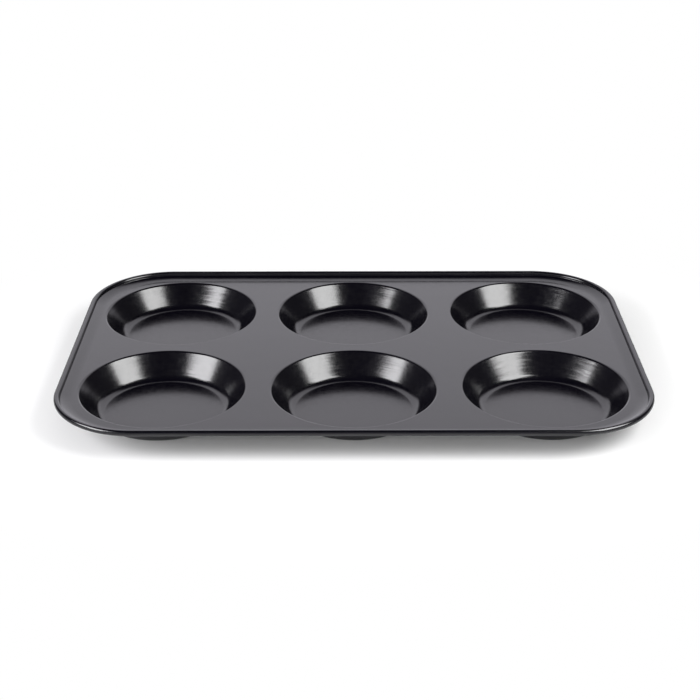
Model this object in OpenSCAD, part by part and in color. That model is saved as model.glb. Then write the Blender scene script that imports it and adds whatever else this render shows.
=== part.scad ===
// A six-cup popover pan: a pressed steel sheet with two rows of three shallow round cups,
// and a rim that is rolled outwards round a steel wire.
// The sheet is drawn as eight pieces that meet edge to edge: the flat deck, the six cups and the rim.
// The wire is the ninth piece. All sizes are millimetres.
// The pan stands on its cup bottoms at Z = 0. The length runs along X, the front faces -Y.

/* [Cups] */
// Distance between cup centres along the length
pitch_x = 103; // [93:0.2:103.4]
// Distance between cup centres across the width
pitch_y = 98.5; // [93:0.5:99]
// Diameter of a cup's mouth on the deck, where its rounded edge begins
mouth_d = 91.2; // [80:0.2:91.8]
// Radius of the rounded edge at the mouth, on the top face
mouth_r = 1.8; // [1.2:0.1:3]
// Depth of a cup, from the deck's top face to its floor
cup_depth = 13.5; // [9:0.5:60]
// Diameter of the flat floor of a cup
floor_d = 63; // [40:0.2:66]
// Radius of the bend between the floor and the wall, on the top face
floor_r = 6.5; // [2:0.1:7]

/* [Sheet] */
// Thickness of the pressed sheet
sheet_t = 0.6; // [0.4:0.1:0.8]

/* [Rim] */
// Length of the pan over the rim
pan_l = 317.8; // [317:0.2:420]
// Width of the pan over the rim
pan_w = 210.6; // [209.6:0.2:300]
// Radius of the pan's corners, over the rim
pan_corner_r = 46.6; // [20:0.2:56]
// Width of the soft bend that lifts the edge of the deck
lift_w = 6.2; // [2:0.1:6.7]
// How far the soft bend lifts the edge of the deck, in degrees
lift_angle = 26; // [2:1:30]
// Radius of the sharper bend that turns the edge upright, on the top face
rim_bend_r = 0.5; // [0.3:0.1:1.5]
// Height of the upright wall between that bend and the middle of the rolled bead
rim_wall_h = 0.2; // [0.1:0.1:8]
// How far the sheet is rolled round the wire, in degrees
roll_angle = 300; // [200:1:306]
// Diameter of the wire inside the rolled rim
wire_d = 1.9; // [1.4:0.1:2.3]
// Gap between the wire and the sheet rolled round it
wire_gap = 0.05; // [0.05:0.05:0.25]

/* [Hidden] */
// Curves carry through as true curves, so this only sets how smooth the preview is
$fn = 96;

// Heights of the deck
deck_top = cup_depth + sheet_t;
deck_bottom = deck_top - sheet_t;

// The bead rolled round the wire
bead_in_r = wire_d / 2 + wire_gap;
bead_r = bead_in_r + sheet_t;

// Bends from the deck up to the bead, placed from the line that the bead's middle follows
lift_r = lift_w / sin(lift_angle);
deck_edge = bead_r + rim_bend_r * (1 - sin(lift_angle)) + lift_w;
lift_centre = [-deck_edge, deck_top + lift_r];
bend_centre = lift_centre + (lift_r - rim_bend_r) * [sin(lift_angle), -cos(lift_angle)];
bead_z = bend_centre.y + rim_wall_h;

// That line round the pan
line_x = pan_l / 2 - bead_r;
line_y = pan_w / 2 - bead_r;
line_r = pan_corner_r - bead_r;

// The flat deck ends where the sheet begins to bend up to the rim
deck_x = line_x - deck_edge;
deck_y = line_y - deck_edge;
deck_r = line_r - deck_edge;

// A cup's wall is the straight line that touches both of its bends
mouth_centre = [mouth_d / 2, deck_top - mouth_r];
floor_centre = [floor_d / 2, sheet_t + floor_r];
between = mouth_centre - floor_centre;
wall_angle = atan2(between.y, between.x) + asin((mouth_r + floor_r) / norm(between));

// Each straight step round a bend turns by no more than this angle, and by less in the soft bend
bend_step = 5;
lift_step = 2;

sheet_colour = "#2c2c30";
wire_colour = "silver";

// Points along an arc, from one angle to another
function arc(centre, radius, from, to, step = bend_step) =
    let (steps = ceil(abs(to - from) / step))
    [for (i = [0:steps])
        let (angle = from + (to - from) * i / steps)
        centre + radius * [cos(angle), sin(angle)]];

// Half of a cup cut through its middle: floor, bend, straight wall and rounded mouth
module cup_profile() {
    polygon(concat(
        [[0, sheet_t]],
        arc(floor_centre, floor_r, -90, wall_angle - 90),
        arc(mouth_centre, mouth_r, wall_angle + 90, 90),
        arc(mouth_centre, mouth_r - sheet_t, 90, wall_angle + 90),
        arc(floor_centre, floor_r + sheet_t, wall_angle - 90, -90),
        [[0, 0]]));
}

// One cup, at its place in the two rows of three
module cup(column, row) {
    color(sheet_colour)
        translate([column * pitch_x, row * pitch_y / 2, 0])
            rotate_extrude()
                cup_profile();
}

module cup_front_left() { cup(-1, -1); }
module cup_front_middle() { cup(0, -1); }
module cup_front_right() { cup(1, -1); }
module cup_back_left() { cup(-1, 1); }
module cup_back_middle() { cup(0, 1); }
module cup_back_right() { cup(1, 1); }

// A flat rectangle with round corners, given its half sizes
module rounded_rectangle(half_x, half_y, radius) {
    square([2 * half_x, 2 * (half_y - radius)], center = true);
    square([2 * (half_x - radius), 2 * half_y], center = true);
    for (x_side = [-1, 1], y_side = [-1, 1])
        translate([x_side * (half_x - radius), y_side * (half_y - radius)])
            circle(r = radius);
}

// The flat sheet between the cups and the rim, with a hole at each cup
module deck_sheet() {
    color(sheet_colour)
        translate([0, 0, deck_bottom])
            linear_extrude(height = sheet_t)
                difference() {
                    rounded_rectangle(deck_x, deck_y, deck_r);
                    for (column = [-1:1], row = [-1, 1])
                        translate([column * pitch_x, row * pitch_y / 2])
                            circle(d = mouth_d);
                }
}

// Carries a profile round the rim: its X points out of the pan, its origin follows the bead's middle
module round_the_pan() {
    straight_x = line_x - line_r;
    straight_y = line_y - line_r;
    for (turn = [0, 180]) {
        rotate(turn)
            translate([line_x, 0, 0])
                rotate([90, 0, 0])
                    linear_extrude(height = 2 * straight_y, center = true)
                        children();
        rotate(turn + 90)
            translate([line_y, 0, 0])
                rotate([90, 0, 0])
                    linear_extrude(height = 2 * straight_x, center = true)
                        children();
    }
    for (x_side = [-1, 1], y_side = [-1, 1])
        translate([x_side * straight_x, y_side * straight_y, 0])
            rotate(atan2(y_side, x_side) - 45)
                rotate_extrude(angle = 90)
                    translate([line_r, 0])
                        children();
}

// A ring of sheet, as thick as the sheet all round its hollow
module ring(hollow_r) {
    difference() {
        circle(r = hollow_r + sheet_t);
        circle(r = hollow_r);
    }
}

// The rim cut through: two bends up from the deck, a short upright wall and the rolled bead
module rim_profile() {
    lift_r_below = lift_r + sheet_t;
    bend_r_below = rim_bend_r + sheet_t;
    lifted = lift_angle - 90;
    polygon(concat(
        arc(lift_centre, lift_r, -90, lifted, lift_step),
        arc(bend_centre, rim_bend_r, lifted, 0),
        [[-bead_r, bead_z], [-bead_in_r, bead_z]],
        arc(bend_centre, bend_r_below, 0, lifted),
        arc(lift_centre, lift_r_below, lifted, -90, lift_step)));
    // The bead is open over the angle between the wall and the sheet's rolled-in edge
    open_angle = 360 - roll_angle;
    reach = 2 * bead_r;
    translate([0, bead_z])
        difference() {
            ring(bead_in_r);
            polygon([[0, 0], [-reach, 0], [-reach, -reach],
                     reach * [cos(180 + open_angle), sin(180 + open_angle)]]);
        }
}

// The edge of the sheet, turned up and rolled outwards round the wire
module rolled_rim() {
    color(sheet_colour)
        round_the_pan()
            rim_profile();
}

// The wire that stiffens the rim, closed round the whole pan
module rim_wire() {
    color(wire_colour)
        round_the_pan()
            translate([0, bead_z])
                circle(d = wire_d);
}

deck_sheet();
cup_front_left();
cup_front_middle();
cup_front_right();
cup_back_left();
cup_back_middle();
cup_back_right();
rolled_rim();
rim_wire();
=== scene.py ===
"""Looks of a six-cup popover pan: one dark coated sheet, rolled round a bright steel wire."""

import math

import bmesh
import bpy
from mathutils import Matrix, Vector


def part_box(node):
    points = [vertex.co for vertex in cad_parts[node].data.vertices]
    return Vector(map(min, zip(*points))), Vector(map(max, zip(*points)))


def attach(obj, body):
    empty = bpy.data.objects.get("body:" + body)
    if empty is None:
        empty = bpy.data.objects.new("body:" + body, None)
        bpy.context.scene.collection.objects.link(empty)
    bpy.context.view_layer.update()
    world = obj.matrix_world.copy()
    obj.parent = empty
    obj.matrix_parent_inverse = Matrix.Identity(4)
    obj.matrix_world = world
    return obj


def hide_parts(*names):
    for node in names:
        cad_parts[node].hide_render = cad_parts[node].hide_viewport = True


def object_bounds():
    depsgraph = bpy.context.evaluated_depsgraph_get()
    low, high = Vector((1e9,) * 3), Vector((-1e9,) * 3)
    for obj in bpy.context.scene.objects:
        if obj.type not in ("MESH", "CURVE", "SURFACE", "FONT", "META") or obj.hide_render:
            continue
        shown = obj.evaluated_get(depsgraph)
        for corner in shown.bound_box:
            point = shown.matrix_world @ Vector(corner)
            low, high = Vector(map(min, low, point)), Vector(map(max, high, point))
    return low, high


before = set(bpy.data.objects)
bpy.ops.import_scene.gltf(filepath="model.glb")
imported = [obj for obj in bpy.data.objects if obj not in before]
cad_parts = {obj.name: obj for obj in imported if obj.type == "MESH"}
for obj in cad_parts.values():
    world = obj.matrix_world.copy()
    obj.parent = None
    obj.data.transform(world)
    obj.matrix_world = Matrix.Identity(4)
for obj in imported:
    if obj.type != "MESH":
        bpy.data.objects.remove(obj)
cad_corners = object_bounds()

# Sizes of the pressing, in metres, as the part's source has them.
SHEET = 0.0006
MOUTH_BEND = 0.0018
FLOOR_BEND = 0.0065
FLOOR_RADIUS = 0.0315
PAN_CORNER = 0.0466
LIFT_WIDTH = 0.0062
LIFT_TURN = math.radians(26)
RIM_BEND = 0.0005
ROLL_TURN = math.radians(300)
WIRE_GAP = 0.00005

# How finely the curves are divided.
CUP_STEPS = 160
CORNER_STEPS = 32
FINE_TURN = math.radians(4)
LIFT_STEP = math.radians(1)
SAME_POINT = 1e-6

# Outlines are drawn in the X-Z plane, where bends turn about -Y, and swept about upright axes.
OUTLINE_AXIS = (0, -1, 0)
UP = (0, 0, 1)
PAN_MIDDLE = (0, 0, 0)

CUPS = [
    f"cup_{row}_{column}"
    for row in ("front", "back")
    for column in ("left", "middle", "right")
]

# The far corner of the deck's top face, and the radius of the deck's round corners.
deck_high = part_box("deck_sheet")[1]
deck_corner = PAN_CORNER - (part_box("rolled_rim")[1].x - deck_high.x)

# The coating and the wire: colours, roughness from least to most, and relief in metres.
# Nearly all of the noise lies within its span.
NOISE_SPAN = (0.3, 0.7)
COATING_DARK = (0.0008, 0.0006, 0.0018)
COATING_LIGHT = (0.0018, 0.0015, 0.0038)
COATING_ROUGHNESS = (0.165, 0.205)
WIDE_RING_DEPTH = 0.00011
FINE_RING_DEPTH = 0.00003
GRAIN_DEPTH = 0.000001
WIRE_DARK = (0.4, 0.4, 0.41)
WIRE_LIGHT = (0.5, 0.5, 0.51)
WIRE_ROUGHNESS = (0.28, 0.42)
WIRE_LINE_DEPTH = 0.00001

# Places of the colour sockets among a Mix node's inputs and outputs.
MIX_FIRST_COLOUR = 6
MIX_LAST_COLOUR = 7
MIX_RESULT_COLOUR = 2

# The floor lies just under the cups. It turns plain white over a span of distance in half pans.
# The gloss sees it darker than the camera does, in its paint and in its white.
CLEAR_OF_FLOOR = 0.00005
FLOOR_REACH = 6
FLOOR_WHITENS = (1.1, 1.9)
FLOOR_PAINT = (0.9, 0.9, 0.9)
FLOOR_PAINT_IN_GLOSS = (0.55, 0.55, 0.56)
FLOOR_WHITE = (1.0, 0.5)

# The room that the gloss sees: a pale wall behind the pan, brightest at the middle of its foot,
# a dim low room beside and in front, and near dark above. Tops are sines of the angle above the
# floor, sides are bearings from straight behind the pan, and a glow goes with each. A pair holds
# where a change starts and where it ends, or the glow before it and after it.
WALL_TOP = (0.83, 0.73)
WALL_SIDES = (math.radians(47), math.radians(35))
WALL_MIDDLE = (0.40, 0.48)
WALL_GLOW = (1.17, 1.04)
FOOT_TOP = (0.16, 0.34)
FOOT_SIDES = (math.radians(5), math.radians(18))
FOOT_GLOW = (1.4, 0.5)
LOW_ROOM_TOP = (0.48, 0.62)
LOW_ROOM_SIDES = (math.radians(90), math.radians(130))
LOW_ROOM_GLOW = (0.05, 0.3)
ROOM_GLOW = 0.005
ROOM_COLOUR = (0.95, 0.93, 1)

# The light that only paint gets: even all round, and stronger low in front, most from the left.
FILL = 0.33
FILL_COLOUR = (1, 1, 1)
FRONT_FILL = (4.0, 0.35)
FRONT_FILL_TOP = (0.6, 0.45)
FRONT_FILL_SIDES = (math.radians(75), math.radians(120))
FRONT_FILL_ACROSS = (-0.5, 0.5)
WHITE_BACKGROUND = 1.0


def last_point(made):
    """The point at the end of a spin of one point."""
    return next(part for part in made["geom_last"] if isinstance(part, bmesh.types.BMVert))


def draw_straight(mesh, point, step):
    """Draws an outline on from its last point in a straight line."""
    made = bmesh.ops.spin(
        mesh, geom=[point], cent=point.co, axis=OUTLINE_AXIS, dvec=step, angle=0, steps=1
    )
    return last_point(made)


def draw_bend(mesh, point, centre, turn, fineness=FINE_TURN):
    """Draws an outline on from its last point round a centre; a positive turn runs from +X to +Z."""
    steps = math.ceil(abs(turn) / fineness)
    made = bmesh.ops.spin(mesh, geom=[point], cent=centre, axis=OUTLINE_AXIS, angle=turn, steps=steps)
    return last_point(made)


def face_up(mesh):
    """Closes the seams of a skin and turns its shown side up."""
    bmesh.ops.remove_doubles(mesh, verts=mesh.verts, dist=SAME_POINT)
    bmesh.ops.recalc_face_normals(mesh, faces=mesh.faces)
    if sum(face.normal.z * face.calc_area() for face in mesh.faces) < 0:
        bmesh.ops.reverse_faces(mesh, faces=mesh.faces)


def sheet_piece(name, mesh, material, *nodes):
    """Makes a skin into a piece of coated sheet that stands for its CAD nodes."""
    face_up(mesh)
    # Only the edges where the sheet is cut stay sharp.
    for edge in mesh.edges:
        edge.smooth = not edge.is_boundary
    for face in mesh.faces:
        face.smooth = True
    data = bpy.data.meshes.new(name)
    mesh.to_mesh(data)
    mesh.free()
    data.materials.append(material)
    piece = bpy.data.objects.new(name, data)
    bpy.context.scene.collection.objects.link(piece)
    gauge = piece.modifiers.new("sheet_gauge", "SOLIDIFY")
    gauge.thickness = SHEET
    gauge.offset = -1
    gauge.use_even_offset = True
    shading = piece.modifiers.new("even_shading", "WEIGHTED_NORMAL")
    shading.keep_sharp = True
    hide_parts(*nodes)
    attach(piece, "root")


def cup(name, material):
    """A pressed cup: floor, floor bend, sloping wall and mouth bend, spun about its axis."""
    low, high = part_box(name)
    centre = (low + high) / 2
    mouth_radius = (high.x - low.x) / 2
    floor_top = low.z + SHEET
    floor_centre = Vector((FLOOR_RADIUS, floor_top + FLOOR_BEND))
    mouth_centre = Vector((mouth_radius, high.z - MOUTH_BEND))
    between = mouth_centre - floor_centre
    line_angle = math.atan2(between.y, between.x)
    wall_angle = line_angle + math.asin((MOUTH_BEND + FLOOR_BEND) / between.length)
    slope = Vector((math.cos(wall_angle), math.sin(wall_angle)))
    wall = between.dot(slope)

    mesh = bmesh.new()
    point = mesh.verts.new((0, 0, floor_top))
    point = draw_straight(mesh, point, (FLOOR_RADIUS, 0, 0))
    point = draw_bend(mesh, point, (floor_centre.x, 0, floor_centre.y), wall_angle)
    point = draw_straight(mesh, point, (wall * slope.x, 0, wall * slope.y))
    draw_bend(mesh, point, (mouth_centre.x, 0, mouth_centre.y), -wall_angle)
    bmesh.ops.spin(
        mesh,
        geom=mesh.verts[:] + mesh.edges[:],
        cent=PAN_MIDDLE,
        axis=UP,
        angle=math.tau,
        steps=CUP_STEPS,
        use_merge=True,
    )
    bmesh.ops.translate(mesh, verts=mesh.verts, vec=(centre.x, centre.y, 0))
    sheet_piece(f"pressed_{name}", mesh, material, name)


def round_the_pan(mesh, outline, deck_half, corner_radius):
    """Sweeps an outline that lies on the right-hand side, at y = 0, once round the pan."""
    reach_x = deck_half.x - corner_radius
    reach_y = deck_half.y - corner_radius
    runs = [(reach_y, 0, 1), (reach_x, -1, 0), (reach_y, 0, -1), (reach_x, 1, 0)]
    corners = [(1, 1), (-1, 1), (-1, -1), (1, -1)]
    swept = outline
    for (half_run, run_x, run_y), (side_x, side_y) in zip(runs, corners):
        length = half_run if swept is outline else 2 * half_run
        straight = bmesh.ops.spin(
            mesh,
            geom=swept,
            cent=PAN_MIDDLE,
            axis=UP,
            angle=0,
            steps=1,
            dvec=(run_x * length, run_y * length, 0),
        )
        corner = bmesh.ops.spin(
            mesh,
            geom=straight["geom_last"],
            cent=(side_x * reach_x, side_y * reach_y, 0),
            axis=UP,
            angle=math.pi / 2,
            steps=CORNER_STEPS,
        )
        swept = corner["geom_last"]
    bmesh.ops.spin(
        mesh, geom=swept, cent=PAN_MIDDLE, axis=UP, angle=0, steps=1, dvec=(0, reach_y, 0)
    )
    bmesh.ops.remove_doubles(mesh, verts=mesh.verts, dist=SAME_POINT)


def deck(material):
    """The flat deck between the cups, with a round hole for each cup."""
    mesh = bmesh.new()
    start = mesh.verts.new((deck_high.x, 0, deck_high.z))
    round_the_pan(mesh, [start], deck_high, deck_corner)
    for name in CUPS:
        cup_low, cup_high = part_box(name)
        middle = (cup_low + cup_high) / 2
        bmesh.ops.create_circle(
            mesh,
            segments=CUP_STEPS,
            radius=(cup_high.x - cup_low.x) / 2,
            matrix=Matrix.Translation((middle.x, middle.y, deck_high.z)),
        )
    bmesh.ops.triangle_fill(mesh, use_beauty=True, edges=mesh.edges[:], normal=UP)
    sheet_piece("pressed_deck", mesh, material, "deck_sheet")


def rim(material):
    """The edge of the sheet: lifted softly, turned upright, then rolled outwards round the wire."""
    wire_low, wire_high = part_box("rim_wire")
    bead_height = (wire_low.z + wire_high.z) / 2
    bead_radius = (wire_high.z - wire_low.z) / 2 + WIRE_GAP + SHEET
    lift_radius = LIFT_WIDTH / math.sin(LIFT_TURN)

    mesh = bmesh.new()
    point = mesh.verts.new((deck_high.x, 0, deck_high.z))
    point = draw_bend(mesh, point, point.co + Vector((0, 0, lift_radius)), LIFT_TURN, LIFT_STEP)
    bend_centre = point.co + RIM_BEND * Vector((-math.sin(LIFT_TURN), 0, math.cos(LIFT_TURN)))
    point = draw_bend(mesh, point, bend_centre, math.pi / 2 - LIFT_TURN)
    point = draw_straight(mesh, point, (0, 0, bead_height - point.co.z))
    draw_bend(mesh, point, point.co + Vector((bead_radius, 0, 0)), -ROLL_TURN)
    round_the_pan(mesh, mesh.verts[:] + mesh.edges[:], deck_high, deck_corner)
    sheet_piece("rolled_edge", mesh, material, "rolled_rim")


def node(tree, kind, **settings):
    """Adds a shader node and gives its settings."""
    made = tree.nodes.new(kind)
    for name, value in settings.items():
        setattr(made, name, value)
    return made


def feed(tree, socket, value):
    """Links a socket to another one, or sets it to a number."""
    if isinstance(value, bpy.types.NodeSocket):
        tree.links.new(value, socket)
    else:
        socket.default_value = value


def maths(tree, operation, *values):
    """The result of a Math node."""
    made = node(tree, "ShaderNodeMath", operation=operation)
    for socket, value in zip(made.inputs, values):
        feed(tree, socket, value)
    return made.outputs["Value"]


def fade(tree, value, span, first=0, last=1):
    """A smooth change from a first number to a last one, as a value crosses a span."""
    made = node(tree, "ShaderNodeMapRange", interpolation_type="SMOOTHSTEP")
    feed(tree, made.inputs["Value"], value)
    made.inputs["From Min"].default_value = span[0]
    made.inputs["From Max"].default_value = span[1]
    made.inputs["To Min"].default_value = first
    made.inputs["To Max"].default_value = last
    return made.outputs["Result"]


def mix(tree, factor, first, last):
    """A number between two others."""
    made = node(tree, "ShaderNodeMix", data_type="FLOAT")
    feed(tree, made.inputs["Factor"], factor)
    feed(tree, made.inputs["A"], first)
    feed(tree, made.inputs["B"], last)
    return made.outputs["Result"]


def shades(tree, factor, first, last):
    """A colour between two others."""
    made = node(tree, "ShaderNodeMix", data_type="RGBA")
    tree.links.new(factor, made.inputs["Factor"])
    made.inputs[MIX_FIRST_COLOUR].default_value = (*first, 1)
    made.inputs[MIX_LAST_COLOUR].default_value = (*last, 1)
    return made.outputs[MIX_RESULT_COLOUR]


def relief_group(name):
    """A pattern of noise, stretched by its own scale along X and Y and by another along Z."""
    tree = bpy.data.node_groups.new(name, "ShaderNodeTree")
    tree.interface.new_socket("Place", in_out="INPUT", socket_type="NodeSocketVector")
    tree.interface.new_socket("Per Metre Along", in_out="INPUT", socket_type="NodeSocketFloat")
    tree.interface.new_socket("Per Metre Up", in_out="INPUT", socket_type="NodeSocketFloat")
    tree.interface.new_socket("Height", in_out="OUTPUT", socket_type="NodeSocketFloat")
    given = node(tree, "NodeGroupInput")
    scale = node(tree, "ShaderNodeCombineXYZ")
    tree.links.new(given.outputs["Per Metre Along"], scale.inputs["X"])
    tree.links.new(given.outputs["Per Metre Along"], scale.inputs["Y"])
    tree.links.new(given.outputs["Per Metre Up"], scale.inputs["Z"])
    stretched = node(tree, "ShaderNodeVectorMath", operation="MULTIPLY")
    tree.links.new(given.outputs["Place"], stretched.inputs[0])
    tree.links.new(scale.outputs["Vector"], stretched.inputs[1])
    noise = node(tree, "ShaderNodeTexNoise")
    noise.inputs["Scale"].default_value = 1
    noise.inputs["Detail"].default_value = 3
    tree.links.new(stretched.outputs["Vector"], noise.inputs["Vector"])
    given_back = node(tree, "NodeGroupOutput")
    tree.links.new(noise.outputs["Fac"], given_back.inputs["Height"])
    return tree


def relief(tree, group, place, along, up):
    """Places the pattern in a material, with its own two scales."""
    made = node(tree, "ShaderNodeGroup", node_tree=group)
    tree.links.new(place, made.inputs["Place"])
    made.inputs["Per Metre Along"].default_value = along
    made.inputs["Per Metre Up"].default_value = up
    return made.outputs["Height"]


def bump(tree, height, depth, normal=None):
    """Raises a surface by a pattern, by a depth in metres."""
    made = node(tree, "ShaderNodeBump")
    made.inputs["Distance"].default_value = depth
    tree.links.new(height, made.inputs["Height"])
    if normal:
        tree.links.new(normal, made.inputs["Normal"])
    return made.outputs["Normal"]


def coated_steel(group):
    """Near-black non-stick coating, baked on steel, with faint level rings from the pressing."""
    material = bpy.data.materials.new("coated_steel")
    material.use_nodes = True
    tree = material.node_tree
    shader = tree.nodes["Principled BSDF"]
    shader.inputs["IOR"].default_value = 1.75
    place = node(tree, "ShaderNodeTexCoord").outputs["Object"]
    clouds = relief(tree, group, place, along=60, up=60)
    patches = relief(tree, group, place, along=350, up=350)
    wide_rings = relief(tree, group, place, along=22, up=320)
    fine_rings = relief(tree, group, place, along=45, up=2600)
    grain = relief(tree, group, place, along=1300, up=1300)
    colour = shades(tree, clouds, COATING_DARK, COATING_LIGHT)
    tree.links.new(colour, shader.inputs["Base Color"])
    tree.links.new(fade(tree, patches, NOISE_SPAN, *COATING_ROUGHNESS), shader.inputs["Roughness"])
    waved = bump(tree, wide_rings, WIDE_RING_DEPTH)
    lined = bump(tree, fine_rings, FINE_RING_DEPTH, waved)
    tree.links.new(bump(tree, grain, GRAIN_DEPTH, lined), shader.inputs["Normal"])
    return material


def bright_steel(group):
    """Drawn steel wire, with fine lines along its length."""
    material = bpy.data.materials.new("rim_wire_steel")
    material.use_nodes = True
    tree = material.node_tree
    shader = tree.nodes["Principled BSDF"]
    shader.inputs["Metallic"].default_value = 1
    place = node(tree, "ShaderNodeTexCoord").outputs["Object"]
    lines = relief(tree, group, place, along=40, up=9000)
    clouds = relief(tree, group, place, along=120, up=120)
    tree.links.new(shades(tree, clouds, WIRE_DARK, WIRE_LIGHT), shader.inputs["Base Color"])
    tree.links.new(fade(tree, lines, NOISE_SPAN, *WIRE_ROUGHNESS), shader.inputs["Roughness"])
    tree.links.new(bump(tree, lines, WIRE_LINE_DEPTH), shader.inputs["Normal"])
    return material


def studio_floor():
    """A pale floor that keeps the pan's shadow near it and turns plain white further out."""
    mesh = bmesh.new()
    bmesh.ops.create_grid(mesh, x_segments=1, y_segments=1, size=FLOOR_REACH)
    bmesh.ops.translate(mesh, verts=mesh.verts, vec=(0, 0, -CLEAR_OF_FLOOR))
    data = bpy.data.meshes.new("studio_floor")
    mesh.to_mesh(data)
    mesh.free()
    floor = bpy.data.objects.new("studio_floor", data)
    bpy.context.scene.collection.objects.link(floor)
    material = bpy.data.materials.new("pale_floor")
    material.use_nodes = True
    tree = material.node_tree
    tree.nodes.clear()
    place = node(tree, "ShaderNodeTexCoord")
    in_pans = node(tree, "ShaderNodeVectorMath", operation="DIVIDE")
    tree.links.new(place.outputs["Object"], in_pans.inputs[0])
    in_pans.inputs[1].default_value = (cad_corners[1].x, cad_corners[1].y, 1)
    distance = node(tree, "ShaderNodeVectorMath", operation="LENGTH")
    tree.links.new(in_pans.outputs["Vector"], distance.inputs[0])
    far = fade(tree, distance.outputs["Value"], FLOOR_WHITENS)
    path = node(tree, "ShaderNodeLightPath")
    in_gloss = path.outputs["Is Glossy Ray"]
    seen = maths(tree, "MAXIMUM", path.outputs["Is Camera Ray"], in_gloss)
    painted = node(tree, "ShaderNodeBsdfDiffuse")
    tree.links.new(shades(tree, in_gloss, FLOOR_PAINT, FLOOR_PAINT_IN_GLOSS), painted.inputs["Color"])
    white = node(tree, "ShaderNodeEmission")
    tree.links.new(mix(tree, in_gloss, *FLOOR_WHITE), white.inputs["Strength"])
    both = node(tree, "ShaderNodeMixShader")
    tree.links.new(maths(tree, "MULTIPLY", far, seen), both.inputs["Fac"])
    tree.links.new(painted.outputs["BSDF"], both.inputs[1])
    tree.links.new(white.outputs["Emission"], both.inputs[2])
    out = node(tree, "ShaderNodeOutputMaterial")
    tree.links.new(both.outputs["Shader"], out.inputs["Surface"])
    data.materials.append(material)


def facing(azimuth, elevation, lean):
    """The turn of a lamp or camera that faces the pan; azimuth 0 is in front and 90 to the right."""
    turn = math.radians(azimuth)
    lift = math.radians(elevation)
    away = Vector((math.sin(turn) * math.cos(lift), -math.cos(turn) * math.cos(lift), math.sin(lift)))
    right = Vector((math.cos(turn), math.sin(turn), 0))
    up = away.cross(right)
    level = Matrix((right, up, away)).transposed().to_4x4()
    return level @ Matrix.Rotation(math.radians(lean), 4, "Z")


def softbox(name, azimuth, elevation, distance, width, height, lean, power, colour):
    """A soft lamp at a distance from the middle of the pan, which it faces."""
    lamp = bpy.data.lights.new(name, "AREA")
    lamp.shape = "RECTANGLE"
    lamp.size = width
    lamp.size_y = height
    lamp.energy = power
    lamp.color = colour
    holder = bpy.data.objects.new(name, lamp)
    bpy.context.scene.collection.objects.link(holder)
    aim = facing(azimuth, elevation, lean)
    holder.matrix_world = aim @ Matrix.Translation((0, 0, distance))


def studio_world():
    """Plain light all round for the floor, and for the gloss a pale wall behind in a dim room."""
    world = bpy.data.worlds.new("studio")
    bpy.context.scene.world = world
    world.use_nodes = True
    tree = world.node_tree
    tree.nodes.clear()
    path = node(tree, "ShaderNodeLightPath")
    in_gloss = path.outputs["Is Glossy Ray"]
    place = node(tree, "ShaderNodeTexCoord")
    parts = node(tree, "ShaderNodeSeparateXYZ")
    tree.links.new(place.outputs["Generated"], parts.inputs["Vector"])
    across = parts.outputs["X"]
    up = parts.outputs["Z"]
    bearing = maths(tree, "ARCTAN2", maths(tree, "ABSOLUTE", across), parts.outputs["Y"])

    below_top = fade(tree, up, WALL_TOP)
    behind = fade(tree, bearing, WALL_SIDES)
    foot_glow = fade(tree, bearing, FOOT_SIDES, *FOOT_GLOW)
    wall_glow = fade(tree, up, WALL_MIDDLE, *WALL_GLOW)
    wall = mix(tree, fade(tree, up, FOOT_TOP), foot_glow, wall_glow)
    low_glow = fade(tree, bearing, LOW_ROOM_SIDES, *LOW_ROOM_GLOW)
    dim = mix(tree, fade(tree, up, LOW_ROOM_TOP), low_glow, ROOM_GLOW)
    room = mix(tree, maths(tree, "MULTIPLY", below_top, behind), dim, wall)

    low = fade(tree, up, FRONT_FILL_TOP)
    in_front = fade(tree, bearing, FRONT_FILL_SIDES)
    front_fill = fade(tree, across, FRONT_FILL_ACROSS, *FRONT_FILL)
    fill = mix(tree, maths(tree, "MULTIPLY", low, in_front), FILL, front_fill)

    seen_in_gloss = mix(tree, in_gloss, fill, room)
    seen = mix(tree, path.outputs["Is Camera Ray"], seen_in_gloss, WHITE_BACKGROUND)
    background = node(tree, "ShaderNodeBackground")
    tree.links.new(seen, background.inputs["Strength"])
    tree.links.new(shades(tree, in_gloss, FILL_COLOUR, ROOM_COLOUR), background.inputs["Color"])
    out = node(tree, "ShaderNodeOutputWorld")
    tree.links.new(background.outputs["Background"], out.inputs["Surface"])


def camera():
    """The camera where the photograph was taken from, as least squares on the cups' mouths gives it."""
    data = bpy.data.cameras.new("camera")
    data.lens = 72.61
    data.sensor_width = 36
    data.clip_start = 0.01
    holder = bpy.data.objects.new("camera", data)
    bpy.context.scene.collection.objects.link(holder)
    place = Vector((-0.003245, -0.724776, deck_high.z + 0.347997))
    aim = facing(azimuth=-0.0952, elevation=25.7567, lean=-0.0565)
    holder.matrix_world = Matrix.Translation(place) @ aim
    bpy.context.scene.camera = holder


relief_pattern = relief_group("surface_relief")
sheet_finish = coated_steel(relief_pattern)
deck(sheet_finish)
for cup_name in CUPS:
    cup(cup_name, sheet_finish)
rim(sheet_finish)

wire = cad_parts["rim_wire"]
wire.data.materials.clear()
wire.data.materials.append(bright_steel(relief_pattern))

studio_floor()
softbox(
    "softbox_right",
    azimuth=63.2,
    elevation=43.7,
    distance=0.815,
    width=0.471,
    height=0.448,
    lean=2.7,
    power=5.1,
    colour=(1, 1, 1),
)
softbox(
    "softbox_left",
    azimuth=-63.9,
    elevation=30.3,
    distance=0.823,
    width=0.467,
    height=0.331,
    lean=-9.6,
    power=4.15,
    colour=(0.98, 0.974, 1),
)
studio_world()
camera()
bpy.context.scene.view_settings.view_transform = "Standard"

bpy.context.view_layer.update()
